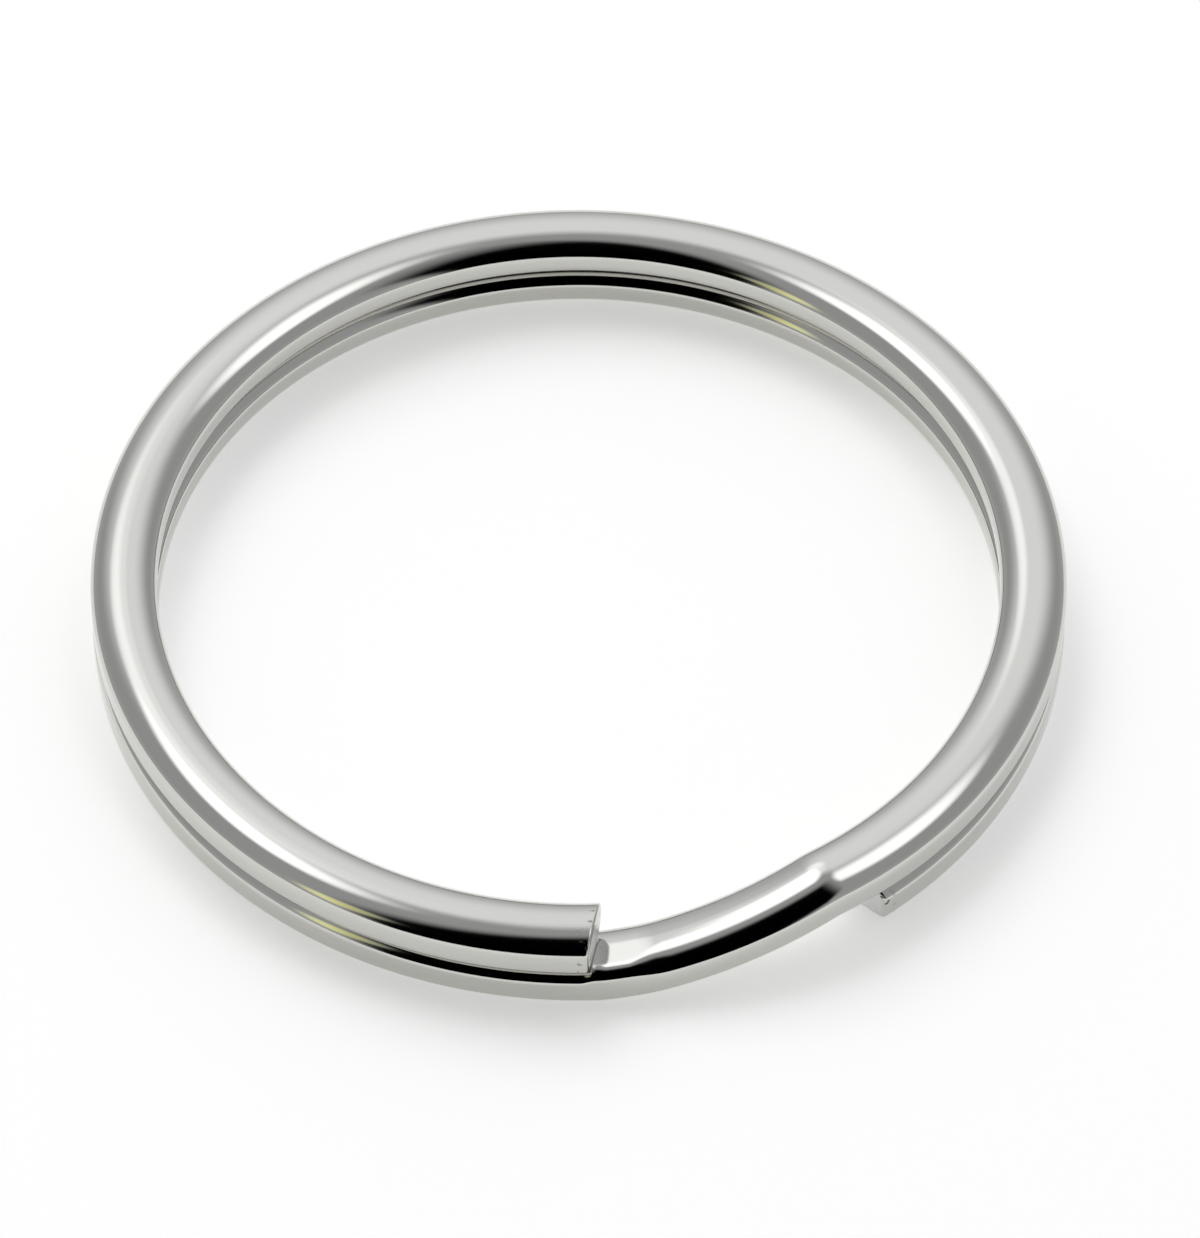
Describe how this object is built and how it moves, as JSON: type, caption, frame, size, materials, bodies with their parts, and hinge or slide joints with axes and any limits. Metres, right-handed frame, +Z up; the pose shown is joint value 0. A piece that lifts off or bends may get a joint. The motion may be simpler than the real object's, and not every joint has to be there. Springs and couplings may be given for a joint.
{
  "type": "split ring",
  "caption": "Split ring coiled from one flattened steel wire in two stacked turns with a joggle between the cut ends; keys, cords and tethers thread onto it.",
  "frame": {"origin": "on the ring's axis, in the plane that the lower turn rests on", "axes": "+Z up along the ring's axis, from the lower turn to the upper one; the joggle lies towards -Y and +X"},
  "size_m": [0.025, 0.025, 0.0022],
  "materials": {
    "nickel_plate": "bright nickel plate on spring steel wire"
  },
  "bodies": {
    "root": {"split_ring": "nickel_plate"}
  },
  "joints": []
}
